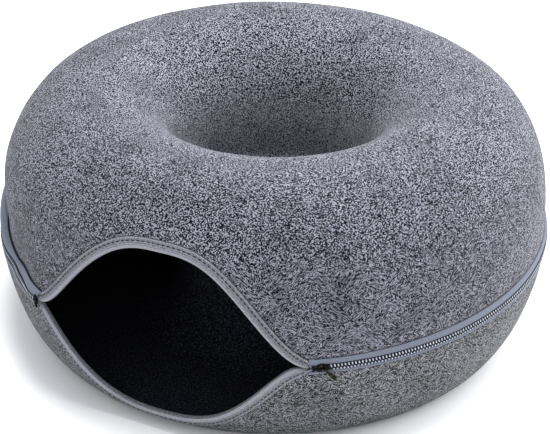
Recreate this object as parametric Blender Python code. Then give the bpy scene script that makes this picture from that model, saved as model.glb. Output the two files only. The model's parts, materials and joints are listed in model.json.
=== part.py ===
"""Donut pet bed: a felt ring tunnel of two moulded shells with a bound entrance and a zip round the seam.

Metres, +Z up. The origin is on the floor under the middle of the whole bed's box, and the entrance faces -Y.
Radii are from the ring's axis, and azimuths in degrees from the entrance's middle, positive towards +X.
"""

import math

import bmesh
import bpy
from mathutils import Vector

# ---- driving dimensions ----------------------------------------------------------------------
FELT_RADIUS = 0.2990          # widest radius of the felt, at the seam
BED_HEIGHT = 0.2740
FELT_THICK = 0.0035
GAP = 0.0003                  # clearance between touching pieces
RING_AXIS = Vector((0, -0.0093, 0))        # the entrance cuts the front, so the box's middle lies behind it

SEAM_MIDDLE = 0.1150          # height of the seam plane at the ring's axis
SEAM_TILT = 0.0050            # the seam is this much lower at the entrance, and higher at the back

TUCK = 0.0025                 # the zip draws the upper felt's edge in this far
TUCK_LEFT = 0.0090            # and this far on the left
TUCK_TOP = 0.0900             # the draw reaches up to here above the seam
TUCK_FULL = 0.0100            # and is full from here down
SAG = 0.0040                  # the upper half falls in this far at its back right
SAG_MIDDLE, SAG_WIDTH = 155.0, 35.0        # azimuth of the middle of that, and from there to its end

WELL_RADIUS = 0.0970          # vertical wall of the middle well, and of the cone that mirrors it below
WELL_FILLET = 0.0250          # round between that wall and its floor
WELL_POWER = 2.2

ENTRANCE_TOP = 0.1070         # opening above the seam, at its middle
ENTRANCE_BOTTOM = 0.0885      # opening below the seam
ENTRANCE_CORNER = 31.0        # azimuth where the bound edges end and the zip begins
CORNER_STEP = 0.4             # the felt's edge steps up to the zip band over this azimuth
TAPE_INSET = 0.06             # and the zip's tapes begin this much further on

TAPE_THICK = 0.0009
BINDING_LEG = 0.0098          # how far the folded tape reaches over the felt
BINDING_TAPER = 4.0           # azimuth over which the binding narrows to meet the zip band

ZIP_TAPE_RADIUS = 0.2990      # outer face of the zip's tapes, beside the teeth
ZIP_SLOPE = 0.6               # share of the tape's way out from the felt that also slopes down
ZIP_KNEE = 0.0050             # seam to where that slope ends
CHAIN_HALF = 0.0033           # half of the width of the closed teeth
CHAIN_THICK = 0.0020
CHAIN_CREST = 0.7             # share of that half width which is flat on top
SLIDER_SEAT = 3.0             # azimuth left clear of teeth at the slider
SLIDER_SIZE = (0.0120, 0.0090, 0.0045)     # along the zip, across it, out of it
PULL_SIZE = (0.0050, 0.0180, 0.0012)       # width, length, thickness
PULL_SEAT = 0.0010            # its eye is this far along and above the slider's middle
PULL_SWING = 38.0             # the pull lies this far off plumb, away from the entrance

# ---- mesh resolution -------------------------------------------------------------------------
ENTRANCE_STEPS = 20
RING_STEPS = 33
FLANK_STEPS = 5
WELL_STEPS = 5
FILLET_STEPS = 3


class Shell:
    """One felt half. Heights run from the seam to its level, and depths from its level into the well."""

    def __init__(self, name, sign, level, flank_ring, flank_power, well_ring, opening, middle, half_width,
                 fullness, ogee, zip_edge, corner_leg):
        self.name = name
        self.sign = sign                      # +1 for the upper half, -1 for the lower
        self.level = level                    # height of its crest or base
        self.flank_ring = flank_ring          # radius where the outer flank ends
        self.flank_power = flank_power
        self.well_ring = well_ring            # radius where the well begins
        self.opening = opening                # how far the entrance reaches from the seam
        self.middle = middle                  # azimuth of the opening's highest or lowest point
        self.half_width = half_width          # azimuth from there to the opening's tips
        self.fullness = fullness              # how squarely the opening's edge turns over at its middle
        self.ogee = ogee                      # how far its tips are drawn out
        self.zip_edge = zip_edge              # felt edge to seam, beside the zip
        self.corner_leg = corner_leg          # binding width where it meets the zip band


UPPER = Shell("upper", 1, BED_HEIGHT, 0.190, 2.4, 0.190, ENTRANCE_TOP, 0.2, 30.6, 2.8, 2.2, 0.0100, 0.0082)
LOWER = Shell("lower", -1, 0.0, 0.252, 1.6, 0.160, ENTRANCE_BOTTOM, -1.2, 29.3, 3.0, 1.8, 0.0070, 0.0052)
LIP = GAP + TAPE_THICK + GAP                  # felt edge to seam where the bound lips close


# ---- outline rules ---------------------------------------------------------------------------
def smooth_step(x):
    x = min(max(x, 0.0), 1.0)
    return x * x * (3 - 2 * x)


def seam_height(azimuth):
    return SEAM_MIDDLE - SEAM_TILT * math.cos(math.radians(azimuth))


def lip_edge(shell, azimuth):
    """Felt edge to seam along the entrance: a full bump with drawn-out tips."""
    share = min(abs(azimuth - shell.middle) / shell.half_width, 1.0)
    return LIP + shell.opening * (1 - share ** shell.fullness) ** shell.ogee


def felt_edge(shell, azimuth):
    beyond = (abs(azimuth) - ENTRANCE_CORNER) / CORNER_STEP
    if beyond <= 0:
        return lip_edge(shell, azimuth)
    return LIP + (shell.zip_edge - LIP) * min(beyond, 1.0)


def tuck(shell, azimuth, above):
    """How far the felt is drawn in at this height above the seam, and its change with height."""
    if shell is not UPPER:
        return 0.0, 0.0
    turn = azimuth % 360
    deep = TUCK + (TUCK_LEFT - TUCK) * smooth_step((turn - 230) / 40)
    deep *= smooth_step((turn - ENTRANCE_CORNER) / 30) * smooth_step((330.5 - turn) / 12)
    share = min(max((TUCK_TOP - above) / (TUCK_TOP - TUCK_FULL), 0.0), 1.0)
    return deep * smooth_step(share), -deep * 6 * share * (1 - share) / (TUCK_TOP - TUCK_FULL)


def flank_reach(shell, azimuth):
    """Widest radius less the flank's ring."""
    sag = SAG * smooth_step(1 - abs(azimuth % 360 - SAG_MIDDLE) / SAG_WIDTH) if shell is UPPER else 0.0
    return FELT_RADIUS - sag - shell.flank_ring


def leg_width(shell, azimuth):
    if abs(azimuth) > ENTRANCE_CORNER:
        return BINDING_LEG
    widen = smooth_step((ENTRANCE_CORNER - abs(azimuth)) / BINDING_TAPER)
    return shell.corner_leg + (BINDING_LEG - shell.corner_leg) * widen


# ---- surface points --------------------------------------------------------------------------
class Spot:
    """A point of a shell's outer face with its normal, in the plane of its azimuth."""

    def __init__(self, azimuth, radius, height, normal_r, normal_z):
        size = math.hypot(normal_r, normal_z)
        self.azimuth = azimuth
        self.radius = radius
        self.height = height
        self.normal = (normal_r / size, normal_z / size)

    def at(self, offset=0.0):
        radius = self.radius + offset * self.normal[0]
        height = self.height + offset * self.normal[1]
        return place(self.azimuth, radius, height)


def heading(azimuth, outward, upward):
    turn = math.radians(azimuth)
    return Vector((outward * math.sin(turn), -outward * math.cos(turn), upward))


def place(azimuth, radius, height):
    return RING_AXIS + heading(azimuth, radius, height)


def quadrant(angle, power):
    """Cosine and sine shares of a superellipse quadrant."""
    return max(math.cos(angle), 0.0) ** (2 / power), math.sin(angle) ** (2 / power)


def flank_spot(shell, azimuth, angle):
    """Outer flank, from the seam at angle 0 to the flank's ring at 90 degrees."""
    rise = abs(shell.level - seam_height(azimuth))
    reach = flank_reach(shell, azimuth)
    across, along = quadrant(angle, shell.flank_power)
    power = shell.flank_power - 1
    drawn, change = tuck(shell, azimuth, rise * along)
    radius = shell.flank_ring + reach * across - drawn
    height = seam_height(azimuth) + shell.sign * rise * along
    outward = across ** power / reach
    return Spot(azimuth, radius, height, outward, shell.sign * (along ** power / rise + outward * change))


def flank_angle(shell, azimuth, from_seam):
    rise = abs(shell.level - seam_height(azimuth))
    return math.asin((from_seam / rise) ** (shell.flank_power / 2))


def edge_spot(shell, azimuth):
    return flank_spot(shell, azimuth, flank_angle(shell, azimuth, felt_edge(shell, azimuth)))


def leg_spot(shell, azimuth):
    """The spot one binding leg in from the felt's edge, square to the edge along the surface."""
    def lip(at):
        return flank_spot(shell, at, flank_angle(shell, at, lip_edge(shell, at)))

    edge = edge_spot(shell, azimuth)
    run = Vector((0, 0, 0))
    if abs(azimuth) < ENTRANCE_CORNER:
        nudge = 0.05
        run = lip(azimuth + nudge).at() - lip(azimuth - nudge).at()
    if run.length == 0:
        run = heading(azimuth + 90, 1, 0)
    normal = heading(azimuth, edge.normal[0], edge.normal[1])
    inward = run.cross(normal).normalized()
    if inward.z * shell.sign < 0:
        inward.negate()
    far = edge.at() + inward * leg_width(shell, azimuth) - RING_AXIS
    far_azimuth = math.degrees(math.atan2(far.x, -far.y))
    far_azimuth += 360 * round((azimuth - far_azimuth) / 360)
    from_seam = shell.sign * (far.z - seam_height(far_azimuth))
    return flank_spot(shell, far_azimuth, flank_angle(shell, far_azimuth, from_seam))


def well_spots(shell, azimuth):
    """From the shell's level down the well's wall, and round its fillet to the rim of the floor."""
    floor = shell.sign * (shell.level - SEAM_MIDDLE) - GAP / 2 - FELT_THICK
    wall = floor - WELL_FILLET
    reach = shell.well_ring - WELL_RADIUS
    first = 1 if shell.well_ring == shell.flank_ring else 0
    for step in range(first, WELL_STEPS + 1):
        across, along = quadrant(math.pi / 2 * (1 - step / WELL_STEPS), WELL_POWER)
        power = WELL_POWER - 1
        yield Spot(azimuth, shell.well_ring - reach * across, shell.level - shell.sign * wall * (1 - along),
                   -across ** power / reach, shell.sign * along ** power / wall)
    for step in range(1, FILLET_STEPS + 1):
        turn = math.pi / 2 * step / FILLET_STEPS
        radius = WELL_RADIUS - WELL_FILLET * (1 - math.cos(turn))
        height = shell.level - shell.sign * (wall + WELL_FILLET * math.sin(turn))
        yield Spot(azimuth, radius, height, -math.cos(turn), shell.sign * math.sin(turn))


def shell_spots(shell, azimuth):
    """One meridian of the outer face, from the cut edge to the rim of the well's floor."""
    leg = leg_spot(shell, azimuth)
    from_seam = shell.sign * (leg.height - seam_height(leg.azimuth))
    start = flank_angle(shell, leg.azimuth, from_seam)
    spots = [edge_spot(shell, azimuth), leg]
    for step in range(1, FLANK_STEPS + 1):
        share = step / FLANK_STEPS
        at = leg.azimuth + (azimuth - leg.azimuth) * share
        spots.append(flank_spot(shell, at, start + (math.pi / 2 - start) * share))
    return spots + list(well_spots(shell, azimuth))


# ---- stations round the ring -----------------------------------------------------------------
def entrance_stations():
    half = ENTRANCE_STEPS // 2
    return [ENTRANCE_CORNER * step / half for step in range(-half, half + 1)]


def zip_stations():
    """From the zip's right end round the back to its left end, with one flat seat for the slider."""
    start = ENTRANCE_CORNER + CORNER_STEP
    ring = start + SLIDER_SEAT
    end = 360 - start
    return [start] + [ring + (end - ring) * step / RING_STEPS for step in range(RING_STEPS + 1)]


# ---- mesh builders ---------------------------------------------------------------------------
def material(name, colour, roughness, metallic=0.0):
    made = bpy.data.materials.new(name)
    made.use_nodes = True
    shader = made.node_tree.nodes["Principled BSDF"]
    shader.inputs["Base Color"].default_value = (*colour, 1)
    shader.inputs["Roughness"].default_value = roughness
    shader.inputs["Metallic"].default_value = metallic
    return made


def add_object(name, mesh_builder, finish):
    mesh_builder.normal_update()
    bmesh.ops.recalc_face_normals(mesh_builder, faces=mesh_builder.faces)
    mesh = bpy.data.meshes.new(name)
    mesh_builder.to_mesh(mesh)
    mesh_builder.free()
    mesh.materials.append(finish)
    made = bpy.data.objects.new(name, mesh)
    bpy.context.collection.objects.link(made)
    return made


def band(mesh_builder, one, other):
    """Triangles between two rows of vertices, split the same way all along."""
    for a, b, c, d in zip(one, one[1:], other, other[1:]):
        mesh_builder.faces.new((a, b, d))
        mesh_builder.faces.new((a, d, c))


def swept(name, sections, finish):
    """A solid through closed sections of equal count, with flat ends."""
    mesh_builder = bmesh.new()
    rows = [[mesh_builder.verts.new(point) for point in section] for section in sections]
    for row, following in zip(rows, rows[1:]):
        band(mesh_builder, following + following[:1], row + row[:1])
    mesh_builder.faces.new(rows[0])
    mesh_builder.faces.new(rows[-1])
    return add_object(name, mesh_builder, finish)


def felt_shell(shell, finish):
    """A closed sheet: the outer face from the well's floor to the edge, and the inner face back."""
    mesh_builder = bmesh.new()
    meridians = []
    for azimuth in entrance_stations() + zip_stations():
        spots = shell_spots(shell, azimuth)
        outer = [spot.at() for spot in reversed(spots)]
        inner = [spot.at(-FELT_THICK) for spot in spots]
        meridians.append([mesh_builder.verts.new(point) for point in outer + inner])
    for meridian, following in zip(meridians, meridians[1:] + meridians[:1]):
        band(mesh_builder, meridian, following)
    for end, away in ((0, 1), (-1, 0)):
        height = meridians[0][end].co.z
        middle = mesh_builder.verts.new(place(0, 0, height))
        for meridian, following in zip(meridians, meridians[1:] + meridians[:1]):
            mesh_builder.faces.new((middle, meridian[end], following[end]))
    return add_object(f"felt_{shell.name}", mesh_builder, finish)


def binding(shell, finish):
    """The folded tape that wraps the felt's edge along the entrance."""
    near = GAP
    far = GAP + TAPE_THICK
    sections = []
    for azimuth in entrance_stations():
        edge, leg = edge_spot(shell, azimuth), leg_spot(shell, azimuth)
        inward = (leg.at() - edge.at()).normalized()

        def beyond(offset, distance):
            return edge.at(offset) - inward * distance

        back = -FELT_THICK
        sections.append([
            leg.at(near), leg.at(far), beyond(far, TAPE_THICK / 2), beyond(near, far),
            beyond(back - near, far), beyond(back - far, TAPE_THICK / 2), leg.at(back - far),
            leg.at(back - near), beyond(back - near, near), beyond(near, near),
        ])
    return swept(f"binding_{shell.name}", sections, finish)


def zip_tape(shell, finish):
    """One tape of the zip: sewn behind the felt, then out under its edge and on to the teeth."""
    back = -FELT_THICK - GAP
    stations = zip_stations()
    stations[0] += TAPE_INSET
    stations[-1] -= TAPE_INSET
    sections = []
    for azimuth in stations:
        edge, leg = edge_spot(shell, azimuth), leg_spot(shell, azimuth)
        seam = seam_height(azimuth)
        ledge = edge.at(-FELT_THICK).z - shell.sign * GAP
        step = shell.sign * TAPE_THICK
        hidden = edge.radius + back * edge.normal[0]
        turning = ZIP_TAPE_RADIUS - ZIP_SLOPE * (ZIP_TAPE_RADIUS - edge.radius)
        knee = seam + shell.sign * ZIP_KNEE
        middle = seam + shell.sign * GAP / 2
        sections.append([
            leg.at(back), place(azimuth, hidden, ledge), place(azimuth, turning, ledge),
            place(azimuth, ZIP_TAPE_RADIUS, knee), place(azimuth, ZIP_TAPE_RADIUS, middle),
            place(azimuth, ZIP_TAPE_RADIUS - TAPE_THICK, middle),
            place(azimuth, ZIP_TAPE_RADIUS - TAPE_THICK, knee - step / 2),
            place(azimuth, turning - TAPE_THICK / 2, ledge - step),
            place(azimuth, hidden - TAPE_THICK, ledge - step), leg.at(back - TAPE_THICK),
        ])
    return swept(f"zip_tape_{shell.name}", sections, finish)


def zip_chain(finish):
    """The closed teeth, as one band proud of the tapes, from the slider's seat to the zip's left end."""
    low = ZIP_TAPE_RADIUS + GAP
    high = low + CHAIN_THICK
    sections = []
    for azimuth in zip_stations()[1:]:
        seam = seam_height(azimuth)
        sections.append([
            place(azimuth, low, seam - CHAIN_HALF), place(azimuth, high, seam - CHAIN_HALF * CHAIN_CREST),
            place(azimuth, high, seam + CHAIN_HALF * CHAIN_CREST), place(azimuth, low, seam + CHAIN_HALF),
        ])
    return swept("zip_chain", sections, finish)


def prism(name, outline, depth, finish):
    """A flat piece with its outline in the local X-Z plane, growing out along -Y."""
    back = [Vector((x, 0, z)) for x, z in outline]
    front = [Vector((x, -depth, z)) for x, z in outline]
    return swept(name, [back, front], finish)


def zip_slider(finish):
    """Shield-shaped slider body on the tapes, with its broad end towards the entrance."""
    length, width, depth = SLIDER_SIZE
    half = width / 2
    outline = [
        (-length / 2, -half * 0.75), (-length * 0.25, -half), (length * 0.2, -half * 0.85),
        (length / 2, -half * 0.6), (length / 2, half * 0.6), (length * 0.2, half * 0.85),
        (-length * 0.25, half), (-length / 2, half * 0.75),
    ]
    body = prism("zip_slider", outline, depth, finish)
    seat = ENTRANCE_CORNER + CORNER_STEP + SLIDER_SEAT / 2
    chord = ZIP_TAPE_RADIUS * math.cos(math.radians(SLIDER_SEAT / 2))
    body.location = place(seat, chord + GAP, seam_height(seat))
    body.rotation_euler = (0, 0, math.radians(seat))
    return body


def zip_pull(body, finish):
    """Flat pull with a narrow neck, hung from the middle of the slider's face."""
    width, length, depth = PULL_SIZE
    half = width / 2
    neck = half * 0.55
    outline = [
        (-neck, 0.0), (-neck, -length * 0.35), (-half, -length * 0.5), (-half, -length * 0.9),
        (-neck, -length), (neck, -length), (half, -length * 0.9), (half, -length * 0.5),
        (neck, -length * 0.35), (neck, 0.0),
    ]
    pull = prism("zip_pull", outline, depth, finish)
    pull.parent = body
    pull.location = (PULL_SEAT, -SLIDER_SIZE[2] - GAP, PULL_SEAT)
    pull.rotation_euler = (0, -math.radians(PULL_SWING), 0)
    return pull


def main():
    for old in list(bpy.data.objects):
        bpy.data.objects.remove(old, do_unlink=True)
    felt = material("felt", (0.16, 0.16, 0.18), 0.95)
    edging = material("binding", (0.30, 0.30, 0.34), 0.85)
    tape = material("zip_tape", (0.22, 0.24, 0.30), 0.8)
    teeth = material("zip_teeth", (0.35, 0.37, 0.42), 0.4)
    brass = material("slider_metal", (0.20, 0.16, 0.09), 0.35, metallic=1.0)
    for shell in (UPPER, LOWER):
        felt_shell(shell, felt)
        binding(shell, edging)
        zip_tape(shell, tape)
    zip_chain(teeth)
    zip_pull(zip_slider(brass), brass)


main()
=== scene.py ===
"""Looks of the donut pet bed: heather felt shells, a bound and stitched entrance, and a zip.

Metres, +Z up, in the CAD model's frame. Azimuths are in degrees from the entrance's middle, positive
towards +X. Radii are from the ring's axis. The outline rules repeat those of the CAD source.
A span is a start and a run from there, which is negative where it goes back.
"""

import json
import math
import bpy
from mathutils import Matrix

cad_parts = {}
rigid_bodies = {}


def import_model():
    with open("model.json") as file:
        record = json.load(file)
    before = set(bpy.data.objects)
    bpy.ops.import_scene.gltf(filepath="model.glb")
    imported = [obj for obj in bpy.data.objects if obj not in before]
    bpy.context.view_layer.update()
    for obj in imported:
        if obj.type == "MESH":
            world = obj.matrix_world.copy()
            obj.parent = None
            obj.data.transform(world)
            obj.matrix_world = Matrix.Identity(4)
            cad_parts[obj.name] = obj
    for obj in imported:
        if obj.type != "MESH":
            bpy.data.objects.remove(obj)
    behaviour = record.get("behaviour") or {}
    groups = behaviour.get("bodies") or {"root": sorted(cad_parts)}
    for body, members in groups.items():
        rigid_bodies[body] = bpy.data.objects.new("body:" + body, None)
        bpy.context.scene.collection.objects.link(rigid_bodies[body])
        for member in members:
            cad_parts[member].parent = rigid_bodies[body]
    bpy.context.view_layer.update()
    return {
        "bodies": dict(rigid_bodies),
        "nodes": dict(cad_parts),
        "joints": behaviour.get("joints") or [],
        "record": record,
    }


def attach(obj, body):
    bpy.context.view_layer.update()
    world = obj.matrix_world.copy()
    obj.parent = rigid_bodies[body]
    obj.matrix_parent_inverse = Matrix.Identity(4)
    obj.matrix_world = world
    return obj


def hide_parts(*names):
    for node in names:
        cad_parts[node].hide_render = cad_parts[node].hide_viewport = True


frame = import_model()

from types import SimpleNamespace

import bmesh
import bpy
import numpy as np
from mathutils import Matrix, Vector, noise

# ---- sizes that the CAD source gives ----
FELT_RADIUS = 0.2990      # widest radius of the felt, at the seam
BED_HEIGHT = 0.2740
FELT_THICK = 0.0035
GAP = 0.0003              # clearance between touching pieces
RING_AXIS = Vector((0, -0.0093, 0))
SEAM_MIDDLE = 0.1150      # height of the seam plane at the ring's axis
SEAM_TILT = 0.0050        # the seam is this much lower at the entrance, and higher at the back
TUCK, TUCK_LEFT = 0.0025, 0.0090  # the zip draws the upper felt's edge in this far
TUCK_TOP, TUCK_FULL = 0.0900, 0.0100  # up to the one height over the seam, and fully to the other
SAG, SAG_MIDDLE, SAG_WIDTH = 0.0040, 155.0, 35.0  # the upper half falls in at its back right
WELL_RADIUS = 0.0970
WELL_FILLET = 0.0250
WELL_POWER = 2.2          # how full the curve of the well's wall is; 2 is an ellipse
ENTRANCE_TOP, ENTRANCE_BOTTOM = 0.1070, 0.0885  # greatest heights of its edges over and under the seam
ENTRANCE_CORNER = 31.0    # azimuth where the bound edges end
ZIP_CORNER = ENTRANCE_CORNER + 0.4  # and where the felt's edge runs along the zip
BINDING_LEG = 0.0098      # how far the folded tape reaches over the felt
BINDING_TAPER = 4.0       # it narrows over this azimuth before the corner
ZIP_TAPE_RADIUS = 0.2990
SLIDER_SEAT = 3.0         # azimuth left clear of teeth at the slider
TAPE_THICK = 0.0009
LIP = GAP + TAPE_THICK + GAP  # the felt's edge keeps this far off the seam
TUCK_LEFT_SPAN = 230.0, 40.0  # azimuths over which the draw deepens at the left
TUCK_SPANS = (ENTRANCE_CORNER, 30.0), (330.5, -12.0)  # and those over which it grows from each corner

# ---- sizes of the fine surface ----
ENTRANCE_PITCH = 0.5      # azimuth between the felt's columns along the entrance
RING_PITCH = 1.1          # and round the rest of the ring
FLANK_ROWS, LEVEL_ROWS, WELL_ROWS, FILLET_ROWS, FLOOR_ROWS = 34, 8, 24, 7, 5
UNEVEN = 0.0011           # the felt's soft lumps stand this proud
EVEN_EDGE = 0.030         # and fade out over this distance from its sewn edge
EVEN_BASE = 0.020         # and over this height over the floor
STRAND_RADIUS = 0.25      # the strands of the marl are laid out on a cylinder of this radius
STRAND_STRETCH = 0.36     # a strand's width for each unit of its length
STRAND_TILTS = {"left": -1.40, "right": 1.40, "upright": 0.0}  # sideways run for each unit up the flank
COMBED_SPAN = 0.165, 0.025  # radii over which the strands take over from the plain speckle
BINDING_PITCH = 0.16      # azimuth between sections of the binding
BINDING_STEPS, FOLD_STEPS, BACK_STEPS = 10, 8, 5  # steps of a section: outside, round the edge, inside
FOLD_OUT = 0.0019         # the fold stands this far out past the felt's edge
PUFF, PUFF_BEYOND = 0.0007, 0.0003  # the tape puffs out by this up to the stitches, and past them
PUCKER = 0.25             # and by this share more or less at each stitch
PLAIN_INWARD = 0.006      # a place across the tape that none of its lines runs through
SLANT_LEG = 0.0012        # the bindings' right ends are cut slantwise down to this width
STITCH_PITCH = 0.0053
STITCH_LENGTH = 0.0032
STITCH_INSET = 0.0039     # stitch line to the binding's outer edge
STITCH_CLEAR = 0.2        # azimuth left without stitches at the corners
THREAD = 0.00050          # radius of the sewing thread
THREAD_PROUD = 0.45       # its middle lies this share of that over the tape
LAP_RIGHT = 0.0010        # the zip's right end lies this proud, over the felt and behind the bindings
LAP_RIGHT_RUN = 1.4       # and comes down over this azimuth
LAP_LEFT = 0.0030         # its left end lies over the bindings too
LAP_LEFT_SPAN = 323.0, -8.0
LAP_RISE = 0.0050         # the upper tape's left end reaches this far up over the felt
LAP_RISE_SPAN = 316.0, 10.0
RIGHT_END, LEFT_END = 30.2, 330.1  # azimuths where the tapes end
BEHIND_START = ZIP_CORNER + 0.06  # from here to the mirrored azimuth they run behind the felt
BEHIND_STEP = 0.01        # azimuth from there back to the section before it
END_RUN = 3.0             # azimuth that counts as near a corner
END_PITCH, TAPE_PITCH, LEFT_PITCH = 0.3, 0.8, 0.2  # between sections near a corner, between, and last
END_SLANT = 1.6           # the left end's top runs on by this azimuth
SLANT_START, SLANT_RUN = 0.006, 0.009  # over these heights
SLANT_SPAN = 326.0, 4.0   # and these azimuths
BULGE_OUT, BULGE_DROP = 0.0014, 0.0024  # a tape's curve is drawn this far out and under its top
BULGE_BACK = 0.8          # and back by this share of the chain's slope
SWELL_MIDDLE, SWELL_WIDTH = 280.0, 30.0  # middle and half width of where the upper tape stands out
SWELL_OUT, SWELL_RISE = 0.0130, 0.0170  # its curve is drawn this much further there
TAPE_STEPS = 12           # steps of that curve
TAPE_OUT, TAPE_UNDER = 0.0010, 0.0003  # its top lies this far out from the felt's edge and under it
TAPE_TURN = (0.0, 0.0012), (0.0004, 0.0), (0.0014, -TAPE_UNDER)  # out and up, round the felt's edge
TAPE_EDGE = 0.00006       # spacing of the points at a tape's free edge
CREVICE, CREVICE_LESS = 0.0002, 0.0020  # shift the painted shadow by the felt's edge out, and back in at the right
CHAIN_HALF = 0.0038       # from the seam to where a tape's curve ends
CHAIN_SLOPE = 0.7         # near its left end the chain lies back by this for each unit of height
CHAIN_SLOPE_SPANS = (306.0, 12.0), (328.0, -7.0)
CHAIN_DROP = 0.0005       # the teeth hang this far under the seam plane
TOOTH_PITCH = 0.00355
TOOTH_START = 0.0004      # from the chain's middle to a tooth's inner end
TOOTH_LEAN = 0.25         # for each unit of height a tooth lies this much nearer the slider
TOOTH_WIDTH = 0.0019
TOOTH_HEIGHT, TOOTH_END = 0.0017, 0.0010  # at the middle of the chain, and at a tooth's outer end
TOOTH_CLEAR = 0.3         # the last one lies this azimuth before the tapes' end
SLIDER_WIDTH = 0.0090
PULL_WIDTH, PULL_LENGTH = 0.0050, 0.0180
PULL_SWING = 42.0         # the pull lies this far off plumb, away from the entrance
TACK_LEAN = 0.0007        # height by which each end of a bar tack's thread rises or falls
TOOTH_SIDES, STRAP_SIDES, THREAD_SIDES, THREAD_RINGS = 8, 12, 6, 5

# ---- the felt halves ----
# A half's own heights run from the seam to its level, so the lower half's run down.
UPPER = SimpleNamespace(
    name="upper",
    sign=1,                             # -1 for the lower half
    level=BED_HEIGHT,                   # height of the crest, or of the base
    flank_ring=0.190, well_ring=0.190,  # radii where the flank and the well's wall meet that level
    flank_power=2.4,                    # how full the flank's curve is
    opening=ENTRANCE_TOP,               # how far the entrance's edge rises from the seam
    middle=0.2, half_width=30.6,        # azimuths of its highest point, and from there to its ends
    fullness=2.8, ogee=2.2,             # how broad its arch is, and how hollow the arch's feet are
    zip_edge=0.0100,                    # from the seam to the felt's edge along the zip
    corner_leg=0.0082,                  # width of the binding at the corners
    slant=1.5,                          # azimuth over which its right end is cut slantwise
    reach=0.0036,                       # from the chain's middle to a tooth's outer end
)
LOWER = SimpleNamespace(
    name="lower", sign=-1, level=0.0, flank_ring=0.252, well_ring=0.160, flank_power=1.6,
    opening=ENTRANCE_BOTTOM, middle=-1.2, half_width=29.3, fullness=3.0, ogee=1.8,
    zip_edge=0.0070, corner_leg=0.0052, slant=2.2, reach=0.0031,
)


# ---- outline rules ----
def smooth_step(x):
    x = min(max(x, 0.0), 1.0)
    return x * x * (3 - 2 * x)


def eased(value, start, run):
    """0 at the start, 1 at the end of the run, and smooth between."""
    return smooth_step((value - start) / run)


def seam_height(azimuth):
    return SEAM_MIDDLE - SEAM_TILT * math.cos(math.radians(azimuth))


def lip_edge(shell, azimuth):
    share = min(abs(azimuth - shell.middle) / shell.half_width, 1.0)
    return LIP + shell.opening * (1 - share ** shell.fullness) ** shell.ogee


def felt_edge(shell, azimuth):
    beyond = (abs(azimuth) - ENTRANCE_CORNER) / (ZIP_CORNER - ENTRANCE_CORNER)
    if beyond <= 0:
        return lip_edge(shell, azimuth)
    return LIP + (shell.zip_edge - LIP) * min(beyond, 1.0)


def tuck(shell, azimuth, above):
    """How far the felt is drawn in at this height above the seam, and its change with height."""
    if shell is not UPPER:
        return 0.0, 0.0
    turn = azimuth % 360
    deep = TUCK + (TUCK_LEFT - TUCK) * eased(turn, *TUCK_LEFT_SPAN)
    for span in TUCK_SPANS:
        deep *= eased(turn, *span)
    share = min(max((TUCK_TOP - above) / (TUCK_TOP - TUCK_FULL), 0.0), 1.0)
    return deep * smooth_step(share), -deep * 6 * share * (1 - share) / (TUCK_TOP - TUCK_FULL)


def flank_reach(shell, azimuth):
    """Widest radius less the flank's ring."""
    sag = SAG if shell is UPPER else 0.0
    sag *= smooth_step(1 - abs(azimuth % 360 - SAG_MIDDLE) / SAG_WIDTH)
    return FELT_RADIUS - sag - shell.flank_ring


def leg_width(shell, azimuth):
    if abs(azimuth) > ENTRANCE_CORNER:
        return BINDING_LEG
    widen = smooth_step((ENTRANCE_CORNER - abs(azimuth)) / BINDING_TAPER)
    leg = shell.corner_leg + (BINDING_LEG - shell.corner_leg) * widen
    if azimuth < 0:
        return leg
    return SLANT_LEG + (leg - SLANT_LEG) * smooth_step((ENTRANCE_CORNER - azimuth) / shell.slant)


class Spot:
    """A point of a shell's outer face with its normal, in the plane of its azimuth."""

    def __init__(self, azimuth, radius, height, normal_r, normal_z):
        size = math.hypot(normal_r, normal_z)
        self.azimuth = azimuth
        self.radius = radius
        self.height = height
        self.normal = (normal_r / size, normal_z / size)

    def at(self, offset=0.0):
        out, up = self.normal
        return place(self.azimuth, self.radius + offset * out, self.height + offset * up)


def heading(azimuth, outward, upward):
    turn = math.radians(azimuth)
    return Vector((outward * math.sin(turn), -outward * math.cos(turn), upward))


def place(azimuth, radius, height):
    return RING_AXIS + heading(azimuth, radius, height)


def round_ring(azimuth):
    """Unit direction along the ring, the way that azimuths grow."""
    return heading(azimuth + 90, 1, 0)


def quadrant(angle, power):
    return max(math.cos(angle), 0.0) ** (2 / power), math.sin(angle) ** (2 / power)


def flank_spot(shell, azimuth, angle):
    rise = abs(shell.level - seam_height(azimuth))
    reach = flank_reach(shell, azimuth)
    across, along = quadrant(angle, shell.flank_power)
    power = shell.flank_power - 1
    drawn, change = tuck(shell, azimuth, rise * along)
    radius = shell.flank_ring + reach * across - drawn
    height = seam_height(azimuth) + shell.sign * rise * along
    outward = across ** power / reach
    return Spot(azimuth, radius, height, outward, shell.sign * (along ** power / rise + outward * change))


def flank_angle(shell, azimuth, from_seam):
    rise = abs(shell.level - seam_height(azimuth))
    return math.asin(min(max(from_seam, 0.0) / rise, 1.0) ** (shell.flank_power / 2))


def edge_spot(shell, azimuth):
    return flank_spot(shell, azimuth, flank_angle(shell, azimuth, felt_edge(shell, azimuth)))


def lip_frame(shell, azimuth):
    """The felt's edge and the unit direction from it into the felt, square to the edge."""
    def lip(at):
        return flank_spot(shell, at, flank_angle(shell, at, lip_edge(shell, at)))

    edge = edge_spot(shell, azimuth)
    run = round_ring(azimuth)
    if abs(azimuth) < ENTRANCE_CORNER:
        nudge = 0.05
        run = lip(azimuth + nudge).at() - lip(azimuth - nudge).at()
    normal = heading(azimuth, edge.normal[0], edge.normal[1])
    inward = run.cross(normal).normalized()
    if inward.z * shell.sign < 0:
        inward.negate()
    return edge, inward


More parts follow.
